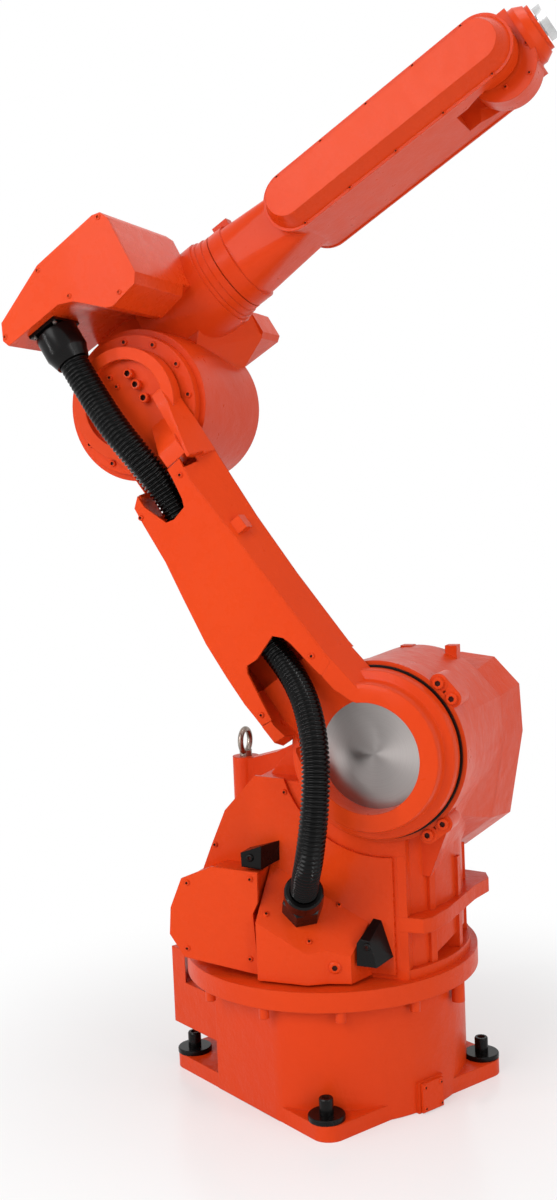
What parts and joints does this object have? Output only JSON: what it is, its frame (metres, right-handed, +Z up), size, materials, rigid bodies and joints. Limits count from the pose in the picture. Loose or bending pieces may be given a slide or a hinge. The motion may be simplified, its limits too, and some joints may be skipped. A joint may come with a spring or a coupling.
{
  "type": "industrial robot arm",
  "caption": "Floor standing six axis industrial robot arm with a rotating column, leaning lower arm, elbow cable box, belt driven forearm, wrist with tool flange and two ribbed cable hoses.",
  "frame": {"origin": "on the first joint's axis, which is the centre of the foot bolt pattern, on the underside of the foot plate", "axes": "+Z up, +X to the front of the base, away from the rear connector housing"},
  "size_m": [0.8569, 0.85, 1.9022],
  "materials": {
    "orange_paint": "glossy enamel over cast metal",
    "black_plastic": "satin black",
    "black_steel": "semi gloss black",
    "brushed_disc": "turned steel",
    "eye_steel": "weathered zinc",
    "flange_steel": "machined steel"
  },
  "bodies": {
    "base": {"base_casting": "orange_paint", "base_access_plate": "orange_paint"},
    "swing_column": {"turntable": "orange_paint", "column_casting": "orange_paint", "shoulder_flange": "orange_paint", "shoulder_motor_cover": "orange_paint", "left_cover_plate": "orange_paint", "upper_cover_plate": "orange_paint", "hose_pedestal": "orange_paint", "left_guard_bracket": "black_steel", "right_guard_bracket": "black_steel", "lifting_eye": "eye_steel"},
    "lower_arm": {"lower_arm": "orange_paint", "hub_disc": "brushed_disc"},
    "elbow": {"elbow_housing": "orange_paint", "elbow_cable_box": "orange_paint", "elbow_cover_plate": "orange_paint", "elbow_motor_cover": "orange_paint", "neck_ring": "orange_paint"},
    "forearm": {"forearm": "orange_paint", "front_belt_cover": "orange_paint", "back_belt_cover": "orange_paint"},
    "wrist": {"wrist_housing": "orange_paint"},
    "tool_flange": {"tool_flange": "flange_steel"}
  },
  "joints": [
    {"name": "j1_swing", "type": "hinge", "parent": "base", "child": "swing_column", "pos_m": [0, 0, 0.2], "axis": [0, 0, 1], "range_deg": [-194.5, 135.5]},
    {"name": "j2_lower_arm", "type": "hinge", "parent": "swing_column", "child": "lower_arm", "pos_m": [0.24209, -0.09282, 0.648], "axis": [-0.4924, 0.8704, 0], "range_deg": [-29, 95]},
    {"name": "j3_elbow", "type": "hinge", "parent": "lower_arm", "child": "elbow", "pos_m": [-0.16027, -0.286, 1.27002], "axis": [0.4924, -0.8704, 0], "range_deg": [-65, 100]},
    {"name": "j4_forearm_roll", "type": "hinge", "parent": "elbow", "child": "forearm", "pos_m": [-0.12049, -0.06817, 1.52123], "axis": [0.7492, 0.4238, 0.509], "range_deg": [-170, 170]},
    {"name": "j5_wrist_bend", "type": "hinge", "parent": "forearm", "child": "wrist", "pos_m": [0.31701, 0.17936, 1.81851], "axis": [0.4924, -0.8704, 0], "range_deg": [-115, 115]},
    {"name": "j6_tool_roll", "type": "hinge", "parent": "wrist", "child": "tool_flange", "pos_m": [0.39942, 0.22598, 1.8745], "axis": [0.7492, 0.4238, 0.509], "range_deg": [-350, 350]}
  ]
}
